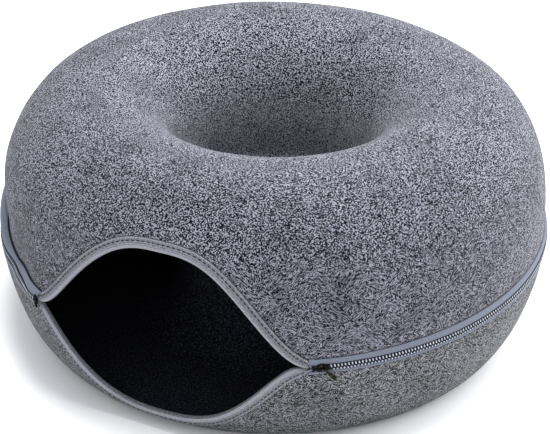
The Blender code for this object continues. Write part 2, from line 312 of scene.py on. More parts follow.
def leg_spot(shell, azimuth):
    """The spot one binding leg in from the felt's edge, square to the edge along the surface."""
    edge, inward = lip_frame(shell, azimuth)
    far = edge.at() + inward * leg_width(shell, azimuth) - RING_AXIS
    far_azimuth = math.degrees(math.atan2(far.x, -far.y))
    far_azimuth += 360 * round((azimuth - far_azimuth) / 360)
    from_seam = shell.sign * (far.z - seam_height(far_azimuth))
    return flank_spot(shell, far_azimuth, flank_angle(shell, far_azimuth, from_seam))


def between(shell, azimuth, edge, leg, share):
    """The spot at that share of the way from the edge to the leg, on the surface."""
    at = edge.azimuth + (leg.azimuth - edge.azimuth) * share
    low = shell.sign * (edge.height - seam_height(azimuth))
    high = shell.sign * (leg.height - seam_height(leg.azimuth))
    return flank_spot(shell, at, flank_angle(shell, at, low + (high - low) * share))


def well_spots(shell, azimuth):
    floor = shell.sign * (shell.level - SEAM_MIDDLE) - GAP / 2 - FELT_THICK
    wall = floor - WELL_FILLET
    reach = shell.well_ring - WELL_RADIUS
    power = WELL_POWER - 1
    for step in range(1, WELL_ROWS + 1):
        across, along = quadrant(math.pi / 2 * (1 - step / WELL_ROWS), WELL_POWER)
        radius = shell.well_ring - reach * across
        height = shell.level - shell.sign * wall * (1 - along)
        yield Spot(azimuth, radius, height, -across ** power / reach, shell.sign * along ** power / wall)
    for step in range(1, FILLET_ROWS + 1):
        turn = math.pi / 2 * step / FILLET_ROWS
        radius = WELL_RADIUS - WELL_FILLET * (1 - math.cos(turn))
        height = shell.level - shell.sign * (wall + WELL_FILLET * math.sin(turn))
        yield Spot(azimuth, radius, height, -math.cos(turn), shell.sign * math.sin(turn))
    for step in range(1, FLOOR_ROWS + 1):
        radius = (WELL_RADIUS - WELL_FILLET) * (1 - step / (FLOOR_ROWS + 0.5))
        yield Spot(azimuth, radius, shell.level - shell.sign * floor, 0, shell.sign)


def shell_spots(shell, azimuth):
    """One meridian of the outer face, from the cut edge to near the middle of the well's floor."""
    edge, leg = edge_spot(shell, azimuth), leg_spot(shell, azimuth)
    start = flank_angle(shell, leg.azimuth, shell.sign * (leg.height - seam_height(leg.azimuth)))
    spots = [between(shell, azimuth, edge, leg, share / 3) for share in range(4)]
    for step in range(1, FLANK_ROWS + 1):
        share = step / FLANK_ROWS
        at = leg.azimuth + (azimuth - leg.azimuth) * share
        spots.append(flank_spot(shell, at, start + (math.pi / 2 - start) * share))
    if shell.well_ring < shell.flank_ring:
        for step in range(1, LEVEL_ROWS):
            radius = shell.flank_ring + (shell.well_ring - shell.flank_ring) * step / LEVEL_ROWS
            spots.append(Spot(azimuth, radius, shell.level, 0, shell.sign))
    return spots + list(well_spots(shell, azimuth))


def stations(low, high, pitch):
    count = max(1, round((high - low) / pitch))
    return [low + (high - low) * step / count for step in range(count + 1)]


def run_lengths(points):
    """How far along a line of points each of them lies."""
    lengths = [0.0]
    for one, other in zip(points, points[1:]):
        lengths.append(lengths[-1] + (other - one).length)
    return lengths


# ---- mesh helpers ----
def band_faces(count, size, ring=False):
    """Quads that join closed sections, numbered one after another. In a ring the last meets the first."""
    faces = []
    for section in range(count if ring else count - 1):
        here, after = section * size, (section + 1) % count * size
        for point in range(size):
            beside = (point + 1) % size
            faces.append([here + point, here + beside, after + beside, after + point])
    return faces


def tube_faces(count, size):
    """The same for sections in a row, with both ends capped."""
    last = (count - 1) * size
    caps = [list(range(size)), list(range(last, last + size))]
    return band_faces(count, size) + caps


def joined(parts):
    points, faces = [], []
    for part_points, part_faces in parts:
        faces += [[index + len(points) for index in face] for face in part_faces]
        points += part_points
    return points, faces


def new_piece(name, points, faces, finish, replaced=()):
    mesh = bpy.data.meshes.new(name)
    mesh.from_pydata([tuple(point) for point in points], [], faces)
    builder = bmesh.new()
    builder.from_mesh(mesh)
    bmesh.ops.recalc_face_normals(builder, faces=builder.faces)
    builder.to_mesh(mesh)
    builder.free()
    mesh.shade_smooth()
    mesh.materials.append(finish)
    piece = bpy.data.objects.new(name, mesh)
    bpy.context.scene.collection.objects.link(piece)
    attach(piece, "root")
    if replaced:
        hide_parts(*replaced)
    return piece


def store(piece, name, values):
    """Keeps a number or a vector for each vertex under a name that the material reads."""
    values = np.asarray(values, np.float32)
    kind, field = ("FLOAT", "value") if values.ndim == 1 else ("FLOAT_VECTOR", "vector")
    attribute = piece.data.attributes.new(name, kind, "POINT")
    attribute.data.foreach_set(field, values.ravel())


# ---- materials ----
class Finish:
    """Builds one material's nodes."""

    def __init__(self, name):
        self.material = bpy.data.materials.new(name)
        self.material.use_nodes = True
        self.tree = self.material.node_tree
        self.shader = self.tree.nodes["Principled BSDF"]

    def add(self, kind, **settings):
        node = self.tree.nodes.new(f"ShaderNode{kind}")
        for key, value in settings.items():
            setattr(node, key, value)
        return node

    def set(self, socket, value):
        if isinstance(value, bpy.types.NodeSocket):
            self.tree.links.new(value, socket)
        else:
            socket.default_value = value

    def fill(self, node, **values):
        for name, value in values.items():
            self.set(node.inputs[name.replace("_", " ")], value)

    def attribute(self, name, output="Vector"):
        return self.add("Attribute", attribute_name=name).outputs[output]

    def place(self):
        return self.add("TexCoord").outputs["Object"]

    def noise(self, vector, cell, detail, roughness=0.5):
        node = self.add("TexNoise")
        self.fill(node, Vector=vector, Scale=1 / cell, Detail=detail, Roughness=roughness)
        return node.outputs["Fac"]

    def math(self, operation, *values, clamp=False):
        node = self.add("Math", operation=operation, use_clamp=clamp)
        for socket, value in zip(node.inputs, values):
            self.set(socket, value)
        return node.outputs[0]

    def away(self, value, middle):
        """How far the value lies from the middle, either way."""
        return self.math("ABSOLUTE", self.math("SUBTRACT", value, middle))

    def wave(self, value, length):
        return self.math("SINE", self.math("MULTIPLY", value, 2 * math.pi / length))

    def parts(self, vector):
        node = self.add("SeparateXYZ")
        self.set(node.inputs[0], vector)
        return node.outputs

    def spread(self, value, low, high, new_low=0.0, new_high=1.0, smooth=False):
        node = self.add("MapRange", interpolation_type="SMOOTHSTEP" if smooth else "LINEAR")
        for socket, number in zip(node.inputs, (value, low, high, new_low, new_high)):
            self.set(socket, number)
        return node.outputs[0]

    def blend(self, share, one, other, kind="FLOAT"):
        node = self.add("Mix", data_type=kind)
        in_use = [socket for socket in node.inputs if socket.enabled]
        for socket, value in zip(in_use, (share, one, other)):
            self.set(socket, value)
        return [socket for socket in node.outputs if socket.enabled][0]

    def ramp(self, value, stops):
        node = self.add("ValToRGB")
        self.set(node.inputs[0], value)
        elements = node.color_ramp.elements
        while len(elements) < len(stops):
            elements.new(0.5)
        for element, (position, colour) in zip(elements, stops):
            element.position = position
            element.color = linear(colour)
        return node.outputs[0]

    def bump(self, height, distance, strength):
        node = self.add("Bump")
        self.fill(node, Strength=strength, Distance=distance, Height=height)
        self.fill(self.shader, Normal=node.outputs[0])

    def surface(self, colour, roughness, **others):
        self.fill(self.shader, Base_Color=colour, Roughness=roughness, **others)
        return self.material


def linear(colour):
    """A display colour, 0 to 255, as the linear colour that nodes take."""
    shares = [channel / 255 for channel in colour]
    return tuple(s / 12.92 if s < 0.04045 else ((s + 0.055) / 1.055) ** 2.4 for s in shares) + (1.0,)


def marl(finish):
    """Grain of the felt, around 0.5: patches of strands that lean either way, over an even speckle."""
    spot = finish.place()
    from_seam = finish.away(finish.parts(spot)[2], SEAM_MIDDLE)
    crest = finish.spread(from_seam, 0.060, 0.125, smooth=True)
    sides = [finish.noise(finish.attribute(f"strand_{side}"), 0.00075, 0.0) for side in STRAND_TILTS]
    left, right, upright = sides
    speckle = finish.blend(crest, finish.noise(spot, 0.0008, 0.0), finish.noise(spot, 0.0013, 0.0))
    patch = finish.noise(spot, 0.016, 1.0)
    strands = finish.blend(finish.spread(patch, 0.44, 0.50, smooth=True), left, upright)
    strands = finish.blend(finish.spread(patch, 0.50, 0.56, smooth=True), strands, right)
    strands = finish.blend(finish.attribute("combed", "Fac"), speckle, strands)
    grain = finish.blend(finish.blend(crest, 0.34, 0.60), strands, speckle)
    fibres = finish.math("SUBTRACT", finish.noise(spot, 0.00030, 1.0), 0.5)
    return finish.math("ADD", grain, finish.math("MULTIPLY", fibres, 0.12))


def felt_finish(name, colours):
    finish = Finish(name)
    grain = marl(finish)
    cloud = finish.noise(finish.place(), 0.045, 2.0)
    value = finish.spread(grain, 0.45, 0.55)
    value = finish.math("ADD", value, finish.spread(cloud, 0.3, 0.7, -0.07, 0.06), clamp=True)
    colour = finish.ramp(value, list(zip((0.0, 0.25, 0.5, 0.75, 1.0), colours)))
    finish.bump(grain, 0.0006, 0.35)
    return finish.surface(colour, 0.95, Sheen_Weight=0.06, Sheen_Roughness=0.5, Specular_IOR_Level=0.1)


def inside_shade_finish():
    # painted shade: the inner face is near black to stand for the shade inside the bed; it is the same grey
    # felt as the outside
    finish = Finish("felt_inside_painted_shade")
    speckle = finish.noise(finish.place(), 0.0018, 2.0)
    stops = [(0.0, (6, 7, 11)), (0.5, (22, 23, 30)), (1.0, (64, 66, 78))]
    finish.bump(speckle, 0.001, 0.4)
    colour = finish.ramp(finish.spread(speckle, 0.3, 0.7), stops)
    return finish.surface(colour, 1.0, Specular_IOR_Level=0.1)


def binding_finish():
    """Narrow woven tape, with painted shade in the dip along its stitch line, a painted shadow along its
    outer edge and a painted highlight by the fold. Its attribute holds the ways along it, across it, and in
    from its outer edge.
    """
    finish = Finish("binding_tape")
    along, across, inward = finish.parts(finish.attribute("tape"))
    ribs = finish.math("MULTIPLY", finish.wave(across, 0.0021), 0.10)
    leaning = finish.math("ADD", along, finish.math("MULTIPLY", across, 1.4))
    rows = finish.math("MULTIPLY", finish.wave(leaning, 0.0026), 0.07)
    fluff = finish.noise(finish.place(), 0.0014, 2.0)
    value = finish.spread(finish.math("ADD", finish.math("ADD", ribs, rows), fluff), 0.25, 0.75)
    colour = finish.ramp(value, [(0.0, (70, 70, 76)), (1.0, (136, 136, 143))])
    # painted highlight: a pale line just inside the fold, where its rounded edge catches the light
    fold = finish.spread(inward, 0.0080, 0.0095)
    fold_highlight = finish.math("MULTIPLY", fold, 0.35)
    colour = finish.blend(fold_highlight, colour, linear((170, 170, 178)), "RGBA")
    # painted shade in the dip of the tape along the stitch line
    groove_shade = finish.spread(finish.away(inward, STITCH_INSET), 0.0003, 0.0010, 0.30, 0.0)
    rib = finish.spread(finish.away(inward, STITCH_INSET + 0.0018), 0.0002, 0.0007, 0.32, 0.0)
    # painted shadow: a thin dark line along the outer edge, where the tape meets the felt
    rim = finish.spread(inward, 0.0003, 0.0006, 0.85, 0.0)
    # the darkest of the painted shade, the faint rib line and the painted shadow
    lines = finish.math("MAXIMUM", finish.math("MAXIMUM", groove_shade, rib), rim)
    colour = finish.blend(lines, colour, linear((14, 14, 24)), "RGBA")
    finish.bump(value, 0.00015, 0.8)
    return finish.surface(colour, 0.85, Specular_IOR_Level=0.2)


def zip_finish():
    """Smooth tape, with a painted shadow where the felt's edge meets it, and dark between the teeth from
    painted shade and the chain's dark stitching.
    """
    finish = Finish("zip_woven")
    across, past_felt = finish.parts(finish.attribute("tape"))[1:]
    fluff = finish.noise(finish.place(), 0.0011, 2.0)
    value = finish.math("ADD", finish.math("MULTIPLY", finish.wave(across, 0.0011), 0.08), fluff)
    colour = finish.ramp(finish.spread(value, 0.2, 0.8), [(0.0, (84, 89, 101)), (1.0, (112, 118, 130))])
    # painted shadow on the tape just under the felt's edge
    shadow_by_felt = finish.spread(past_felt, 0.0009, 0.0013, 1.0, 0.0)
    # partly painted shade in the gaps between the teeth, partly the chain's dark stitching
    shade_and_stitching_between_teeth = finish.spread(finish.attribute("from_seam", "Fac"), 0.0030, 0.0038, 1.0, 0.0)
    # the darkest of the painted shadow and the dark between the teeth
    dark = finish.math("MAXIMUM", shadow_by_felt, shade_and_stitching_between_teeth)
    colour = finish.blend(dark, colour, linear((10, 12, 24)), "RGBA")
    finish.bump(value, 0.0001, 0.6)
    return finish.surface(colour, 0.8, Specular_IOR_Level=0.25)


def thread_finish():
    finish = Finish("sewing_thread")
    twist = finish.noise(finish.place(), 0.0007, 2.0)
    colour = finish.ramp(twist, [(0.3, (2, 2, 8)), (0.7, (12, 12, 24))])
    return finish.surface(colour, 0.9, Specular_IOR_Level=0.1)


def tooth_finish():
    """Nylon, with painted shade down the teeth's sides and between them; only their tops keep the pale
    colour.
    """
    finish = Finish("zip_nylon")
    cloud = finish.noise(finish.place(), 0.003, 2.0)
    colour = finish.ramp(cloud, [(0.3, (146, 152, 166)), (0.7, (186, 192, 205))])
    # painted shade: all but the proudest part of each tooth is darkened
    deep = finish.spread(finish.attribute("proud", "Fac"), 0.72, 0.95, 1.0, 0.0)
    colour = finish.blend(deep, colour, linear((12, 14, 28)), "RGBA")
    return finish.surface(colour, 0.28, Specular_IOR_Level=0.6)


def brass_finish(name, *colours):
    finish = Finish(name)
    worn = finish.noise(finish.place(), 0.0025, 3.0, 0.6)
    colour = finish.ramp(worn, list(zip((0.35, 0.60, 0.80), colours)))
    finish.bump(worn, 0.0001, 0.3)
    return finish.surface(colour, finish.spread(worn, 0.3, 0.7, 0.45, 0.22), Metallic=1.0)


# ---- felt ----
def lumps(point):
    """Soft unevenness of the felt, from -1 to 1."""
    return 0.65 * noise.noise(point * 9) + 0.35 * noise.noise(point * 24 + Vector((7, 3, 5)))


def strand_place(azimuth, along, tilt):
    turn = math.radians(azimuth) + tilt * along / STRAND_RADIUS
    return (STRAND_RADIUS * math.cos(turn), STRAND_RADIUS * math.sin(turn), along * STRAND_STRETCH)


def felt_shell(shell, outer_finish, inner_shade_finish):
    """A felt half, with the places of the marl's strands kept for each point."""
    columns = stations(-ENTRANCE_CORNER, ENTRANCE_CORNER, ENTRANCE_PITCH)
    columns += stations(ZIP_CORNER, 360 - ZIP_CORNER, RING_PITCH)
    points, combed = [], []
    strands = {side: [] for side in STRAND_TILTS}
    for azimuth in columns:
        spots = shell_spots(shell, azimuth)
        bare = [spot.at() for spot in spots]
        lengths = run_lengths(bare)
        lifts = []
        for point, length in zip(bare, lengths):
            fade = smooth_step(length / EVEN_EDGE) * smooth_step(point.z / EVEN_BASE)
            lifts.append(UNEVEN * lumps(point) * fade)
        points += [spot.at(lift) for spot, lift in zip(spots, lifts)]
        points += [spot.at(lift - FELT_THICK) for spot, lift in zip(spots[::-1], lifts[::-1])]
        risen = felt_edge(shell, azimuth)
        for spot, length in zip(spots + spots[::-1], lengths + lengths[::-1]):
            combed.append(eased(spot.radius, *COMBED_SPAN))
            for side, tilt in STRAND_TILTS.items():
                strands[side].append(strand_place(spot.azimuth, risen + length, tilt))
    size, middle = 2 * len(spots), len(spots)
    faces = [face for face in band_faces(len(columns), size, ring=True) if face[0] % size != middle - 1]
    for row in (middle - 1, middle):      # a fan closes the middle of the well's floor, outside and inside
        rim = [column * size + row for column in range(len(columns))]
        faces += [[len(points), one, other] for one, other in zip(rim, rim[1:] + rim[:1])]
        points.append(sum((points[index] for index in rim), Vector()) / len(rim))
        combed.append(0.0)
        for places in strands.values():
            places.append((0, 0, 0))
    piece = new_piece(f"{shell.name}_felt_shell", points, faces, outer_finish, [f"felt_{shell.name}"])
    for side, places in strands.items():
        store(piece, f"strand_{side}", places)
    store(piece, "combed", combed)
    # the inner face takes the painted shade finish
    piece.data.materials.append(inner_shade_finish)
    inside = {column * size + row for column in range(len(columns)) for row in range(middle, size)}
    inside.add(len(points) - 1)
    for polygon in piece.data.polygons:
        polygon.material_index = int(inside.issuperset(polygon.vertices))
    return piece


# ---- binding ----
def binding_bulge(from_edge, leg, along):
    """How far the tape puffs out: between the fold and the stitches, and less beyond them."""
    line = leg - STITCH_INSET
    if from_edge < line:
        pucker = 1 + PUCKER * math.sin(2 * math.pi * along / STITCH_PITCH)
        share = min(max((from_edge + 0.001) / (line + 0.001), 0), 1)
        return PUFF * pucker * math.sin(math.pi * share) ** 0.7
    return PUFF_BEYOND * math.sin(math.pi * min((from_edge - line) / STITCH_INSET, 1)) ** 0.8


def lip_section(shell, azimuth):
    """The felt's edge, the direction into the felt, and the spot one binding leg in."""
    return *lip_frame(shell, azimuth), leg_spot(shell, azimuth)


def lip_point(shell, azimuth, frame, from_edge, offset):
    """A point on the felt or out past its edge: how far from the edge, and how far off the surface."""
    edge, inward, leg = frame
    if from_edge < 0:
        return edge.at(offset) + inward * from_edge
    return between(shell, azimuth, edge, leg, from_edge / leg_width(shell, azimuth)).at(offset)


def binding_section(shell, azimuth, along):
    """Closed section of the folded tape: out over the felt, round its edge, and back inside."""
    leg = leg_width(shell, azimuth)
    top = GAP + TAPE_THICK
    outline = [(leg, GAP), (leg + 0.0003, GAP + TAPE_THICK * 0.45)]
    for step in range(BINDING_STEPS + 1):
        from_edge = leg * (1 - step / BINDING_STEPS) if step else leg - 0.0001
        outline.append((from_edge, top + binding_bulge(from_edge, leg, along)))
    middle = -FELT_THICK / 2
    high, low = top - middle, GAP - middle
    for step in range(1, FOLD_STEPS):
        turn = math.pi * step / FOLD_STEPS
        outline.append((-FOLD_OUT * math.sin(turn) ** 0.8, middle + high * math.cos(turn)))
    for step in range(BACK_STEPS + 1):
        outline.append((leg * step / BACK_STEPS, middle - high))
    outline += [(leg, middle - low), (-0.0002, middle - low), (-0.0005, middle), (-0.0002, middle + low)]
    return outline


def binding(shell, finish):
    """The tape over the edge. What is kept for each point says how far along, across and in it lies."""
    columns = stations(-ENTRANCE_CORNER, ENTRANCE_CORNER, BINDING_PITCH)
    frames = [lip_section(shell, azimuth) for azimuth in columns]
    ways = run_lengths([frame[0].at() for frame in frames])
    points, tape = [], []
    for azimuth, frame, along in zip(columns, frames, ways):
        outline = binding_section(shell, azimuth, along)
        section = [lip_point(shell, azimuth, frame, *spot) for spot in outline]
        points += section
        for across, (from_edge, offset) in zip(run_lengths(section), outline):
            inward = leg_width(shell, azimuth) - from_edge if offset > 0 else PLAIN_INWARD
            tape.append((along, across, inward))
    faces = tube_faces(len(columns), len(outline))
    piece = new_piece(f"{shell.name}_binding", points, faces, finish, [f"binding_{shell.name}"])
    store(piece, "tape", tape)
    return piece


def lip_line(shell, columns):
    return run_lengths([edge_spot(shell, azimuth).at() for azimuth in columns])


def lip_length(shell):
    return lip_line(shell, stations(-ENTRANCE_CORNER, ENTRANCE_CORNER, 0.25))[-1]


# ---- stitches ----
def thread(start, end, radius):
    """Points and faces of a short thread with round ends."""
    axis = (end - start).normalized()
    side = axis.orthogonal().normalized()
    other = axis.cross(side)
    length = (end - start).length
    points = []
    for ring in range(THREAD_RINGS):
        turn = math.pi * (ring + 0.5) / THREAD_RINGS
        along = length * 0.5 * (1 - math.cos(turn))
        width = radius * math.sin(turn) ** 0.5
        for step in range(THREAD_SIDES):
            angle = 2 * math.pi * step / THREAD_SIDES
            out = side * math.cos(angle) + other * math.sin(angle)
            points.append(start + axis * along + out * width)
    return points, tube_faces(THREAD_RINGS, THREAD_SIDES)


def edge_stitches(shell, finish):
    """The row of stitches along the binding, with its back row inside."""
    fine = stations(-ENTRANCE_CORNER + STITCH_CLEAR, ENTRANCE_CORNER - STITCH_CLEAR, 0.1)
    along = lip_line(shell, fine)
    lift = GAP + TAPE_THICK + THREAD * THREAD_PROUD
    parts = []
    for index in range(int(along[-1] / STITCH_PITCH)):
        for offset, shift in ((lift, 0.0), (-FELT_THICK - lift, 0.5)):
            middle = (index + 0.5 + shift) * STITCH_PITCH
            ends = []
            for way in (-0.5, 0.5):
                azimuth = float(np.interp(middle + way * STITCH_LENGTH, along, fine))
                from_edge = leg_width(shell, azimuth) - STITCH_INSET
                ends.append(lip_point(shell, azimuth, lip_section(shell, azimuth), from_edge, offset))
            parts.append(thread(*ends, THREAD))
    points, faces = joined(parts)
    return new_piece(f"{shell.name}_binding_stitches", points, faces, finish)


# ---- zip ----
def zip_lap(azimuth):
    """How proud the zip lies where its ends run over the felt and the bindings."""
    turn = azimuth % 360
    right = LAP_RIGHT * (1 - eased(turn, ZIP_CORNER, LAP_RIGHT_RUN))
    return right + LAP_LEFT * (1 - eased(turn, *LAP_LEFT_SPAN))


def chain_slope(azimuth):
    """How far the chain lies back: inward for each unit of height, from its lower edge up."""
    setting_in, ending = (eased(azimuth, *span) for span in CHAIN_SLOPE_SPANS)
    return CHAIN_SLOPE * setting_in * ending


def overlap(shell, azimuth):
    """How far the upper tape's left end reaches up over the felt past its edge."""
    return LAP_RISE * eased(azimuth, *LAP_RISE_SPAN) if shell is UPPER else 0.0


def runs_over(shell, azimuth):
    return overlap(shell, azimuth) > LAP_RISE / 10


def runs_behind(shell, azimuth):
    """Whether the tape goes on behind the felt here, as it does everywhere but at its ends."""
    return min(azimuth, 360 - azimuth) > BEHIND_START - BEHIND_STEP / 2 and not runs_over(shell, azimuth)


def zip_tape_curve(shell, azimuth, start, rise, face):
    """The tape from its start at the felt's edge, round its bulge and behind the teeth to the seam."""
    upper = shell is UPPER
    slope = chain_slope(azimuth) * CHAIN_HALF
    edge_back = slope * 2 if upper else 0.0
    swell = smooth_step(1 - abs(azimuth - SWELL_MIDDLE) / SWELL_WIDTH) if upper else 0.0
    out = face + BULGE_OUT + SWELL_OUT * swell - edge_back * BULGE_BACK
    bulge = (out, rise - BULGE_DROP + SWELL_RISE * swell)
    stop = (face - edge_back, CHAIN_HALF)
    curve = []
    for step in range(TAPE_STEPS + 1):
        share = step / TAPE_STEPS
        curve.append(tuple(a * (1 - share) ** 2 + 2 * b * share * (1 - share) + c * share ** 2
                           for a, b, c in zip(start, bulge, stop)))
    return curve + [(face - (edge_back + slope) / 2, CHAIN_HALF * 0.5), (face - slope, 0.0)]


def zip_tape_outline(shell, azimuth):
    """Outer face of a zip tape, from the felt's edge out to the seam, as radius and height over the seam."""
    edge = edge_spot(shell, azimuth)
    rise = shell.zip_edge + overlap(shell, azimuth)
    face = ZIP_TAPE_RADIUS + zip_lap(azimuth)
    if runs_behind(shell, azimuth):
        hidden = edge.radius - (FELT_THICK + GAP) * edge.normal[0]
        turn = [(hidden + out, rise + up) for out, up in TAPE_TURN]
        start = (edge.radius + TAPE_OUT, rise - TAPE_UNDER)
        return turn + zip_tape_curve(shell, azimuth, start, rise, face)
    start = (face, rise - TAPE_UNDER)
    if runs_over(shell, azimuth):
        felt = flank_spot(shell, azimuth, flank_angle(shell, azimuth, rise))
        start = (felt.radius + UNEVEN, rise)
    curve = zip_tape_curve(shell, azimuth, start, rise, face)
    length = math.dist(curve[0], curve[1])
    out, up = ((one - other) / length * TAPE_EDGE for one, other in zip(curve[0], curve[1]))
    return [(start[0] + out * step, start[1] + up * step) for step in (4, 3, 2, 1)] + curve


def zip_tape_columns():
    near, far = BEHIND_START + END_RUN, 360 - BEHIND_START - END_RUN
    columns = stations(RIGHT_END, BEHIND_START - BEHIND_STEP, END_PITCH)
    columns += stations(BEHIND_START, near, END_PITCH)[:-1] + stations(near, far, TAPE_PITCH)
    columns += stations(far, 360 - BEHIND_START, END_PITCH)[1:]
    return columns + stations(360 - BEHIND_START + BEHIND_STEP, LEFT_END, LEFT_PITCH)


def zip_tape(shell, finish):
    """One tape of the zip: sewn behind the felt, then bulging out past its edge to the teeth."""
    columns = zip_tape_columns()
    points, tape, from_seam = [], [], []
    for azimuth in columns:
        outline = zip_tape_outline(shell, azimuth)
        outer = []
        for radius, height in outline:
            lean = END_SLANT * eased(azimuth, *SLANT_SPAN) * max(height - SLANT_START, 0) / SLANT_RUN
            outer.append(place(azimuth + lean, radius, seam_height(azimuth) + shell.sign * height))
        heights = [height for radius, height in outline]
        if runs_behind(shell, azimuth):
            outer.insert(0, leg_spot(shell, azimuth).at(-FELT_THICK - GAP))
            heights.insert(0, heights[0])
        inner = []
        out = heading(azimuth, 1, 0)
        for index, point in enumerate(outer):
            run = outer[min(index + 1, len(outer) - 1)] - outer[max(index - 1, 0)]
            # a free edge's first point has too short a run to give a direction
            away = run.cross(round_ring(azimuth)).normalized() if run.length > TAPE_EDGE * 1.6 else out
            if away.dot(out) < 0:
                away.negate()
            inner.append(point - away * TAPE_THICK)
        points += outer + inner[::-1]
        along = math.radians(azimuth) * ZIP_TAPE_RADIUS
        lengths = run_lengths(outer)
        # where the painted shadow under the felt's edge starts
        crevice = lengths[4] + CREVICE - CREVICE_LESS * (1 - eased(azimuth, *TUCK_LEFT_SPAN))
        tape += [(along, length, length - crevice) for length in lengths + lengths[::-1]]
        from_seam += heights + heights[::-1]
    faces = tube_faces(len(columns), 2 * len(outer))
    piece = new_piece(f"{shell.name}_zip_tape", points, faces, finish, [f"zip_tape_{shell.name}"])
    store(piece, "tape", tape)
    store(piece, "from_seam", from_seam)
    return piece


def tooth_shape(reach):
    """One tooth: points along the zip, across it and out of it, its faces, and how proud each point is."""
    rings = ((0.0, 0.45), (0.06, 0.75), (0.2, 1.0), (0.45, 1.0), (0.75, 1.0), (0.94, 0.8), (1.0, 0.5))
    points, proud = [], []
    for share, width in rings:
        across = TOOTH_START + (reach - TOOTH_START) * share
        height = TOOTH_HEIGHT + (TOOTH_END - TOOTH_HEIGHT) * share
        for step in range(TOOTH_SIDES):
            angle = 2 * math.pi * step / TOOTH_SIDES
            rise = (1 + width * math.sin(angle)) / 2
            points.append((TOOTH_WIDTH / 2 * width * math.cos(angle), across, height * rise))
            proud.append(rise)
    return points, tube_faces(len(rings), TOOTH_SIDES), proud


def zip_teeth(shell, finish):
    """A row of single teeth, half a pitch on from the other half's."""
    first = ZIP_CORNER + SLIDER_SEAT
    last = LEFT_END - TOOTH_CLEAR
    pitch = math.degrees(TOOTH_PITCH / (ZIP_TAPE_RADIUS + TOOTH_HEIGHT / 2))
    shift = 0.5 - shell.sign * 0.25
    shape, shape_faces, shape_proud = tooth_shape(shell.reach)
    parts = []
    for index in range(int((last - first) / pitch)):
        azimuth = first + (index + shift) * pitch
        slope = chain_slope(azimuth)
        radius = ZIP_TAPE_RADIUS + zip_lap(azimuth) + GAP / 2 - slope * (CHAIN_HALF - CHAIN_DROP)
        origin = place(azimuth, radius, seam_height(azimuth) - CHAIN_DROP)
        along, out = round_ring(azimuth), heading(azimuth, 1, slope).normalized()
        across = (heading(azimuth, -slope, 1).normalized() - along * TOOTH_LEAN) * shell.sign
        parts.append(([origin + along * x + across * y + out * z for x, y, z in shape], shape_faces))
    points, faces = joined(parts)
    replaced = ["zip_chain"] if shell is UPPER else []
    piece = new_piece(f"{shell.name}_zip_teeth", points, faces, finish, replaced)
    store(piece, "proud", shape_proud * len(parts))


# ---- slider and thread tacks ----
def slider_place(x, y, z):
    """A point from the slider's axes: along the zip, in towards the felt, and up."""
    seat = ZIP_CORNER + SLIDER_SEAT / 2
    chord = ZIP_TAPE_RADIUS * math.cos(math.radians(SLIDER_SEAT / 2)) + GAP
    return place(seat, chord, seam_height(seat)) + round_ring(seat) * x + heading(seat, -y, z)


def strap(path, widths, thick):
    """A flat bar with soft edges along a path of (along, out) points, as points and faces."""
    path = [Vector(point) for point in path]
    points = []
    for index, point in enumerate(path):
        run = (path[min(index + 1, len(path) - 1)] - path[max(index - 1, 0)]).normalized()
        for step in range(STRAP_SIDES):
            angle = 2 * math.pi * (step + 0.5) / STRAP_SIDES
            across, deep = math.cos(angle), math.sin(angle)
            across = math.copysign(abs(across) ** 0.5, across) * widths[index] / 2
            deep = math.copysign(abs(deep) ** 0.5, deep) * thick / 2
            points.append((point.x - run.y * deep, -(point.y + run.x * deep), across))
    return points, tube_faces(len(path), STRAP_SIDES)


def slider_body():
    """Shield plate with flanges bent down to the tapes, broad end to the entrance, and a bridge on top."""
    def mirrored(line):
        return [(-out, up) for out, up in reversed(line)]

    rows = [(-0.0060, 0.55), (-0.0058, 0.74), (-0.0050, 0.88), (-0.0030, 1.0), (0.0, 0.95),
            (0.0024, 0.84), (0.0045, 0.68), (0.0057, 0.52), (0.0060, 0.40)]       # along, share of the width
    points = []
    for index, (along, share) in enumerate(rows):
        half = SLIDER_WIDTH / 2 * share
        dip = 0.0007 if index in (0, len(rows) - 1) else 0.0
        side = [(half, 0.0), (half, 0.0016 - dip), (half - 0.0004, 0.0023 - dip),
                (half - 0.0010, 0.0026 - dip)]
        hollow = [(half - 0.0007, 0.0015 - dip), (half - 0.0007, 0.0)]
        outline = side + [(0.0, 0.0029 - dip)] + mirrored(side) + mirrored(hollow) + hollow
        points += [(along, -out, up) for up, out in outline]
    bridge = [(-0.0042, 0.0024), (-0.0041, 0.0033), (-0.0034, 0.0041), (-0.0018, 0.0044),
              (0.0010, 0.0043), (0.0026, 0.0038), (0.0032, 0.0029), (0.0033, 0.0024)]      # along, out
    plate = (points, tube_faces(len(rows), len(outline)))
    return joined([plate, strap(bridge, [0.0024] * len(bridge), 0.0008)])


def pull_tab():
    """Ring round the bridge, then a flat tab hung from it."""
    turns = [math.pi * step / 6 for step in range(7)]
    ring = [(0.0010 + 0.0017 * math.cos(turn), 0.0046 + 0.0010 * math.sin(turn)) for turn in turns]
    rows = [(0.0, 0.55), (0.0012, 0.62), (0.0050, 0.50), (0.0070, 0.62), (0.0090, 0.95), (0.0110, 1.0),
            (0.0155, 1.0), (0.0172, 0.85), (PULL_LENGTH, 0.55)]      # along, share of the width
    widths = [PULL_WIDTH * share for along, share in rows]
    points, faces = strap([(along, 0.0) for along, share in rows], widths, 0.0012)
    swing = math.radians(PULL_SWING)
    hung = []
    for along, out, across in points:
        sunk = 0.0012 * (along / PULL_LENGTH) ** 2
        x = 0.0010 + along * math.sin(swing) + across * math.cos(swing)
        z = 0.0010 - along * math.cos(swing) + across * math.sin(swing)
        hung.append((x, out + sunk - 0.0054, z))
    return joined([strap(ring, [0.0012] * len(ring), 0.0007), (hung, faces)])


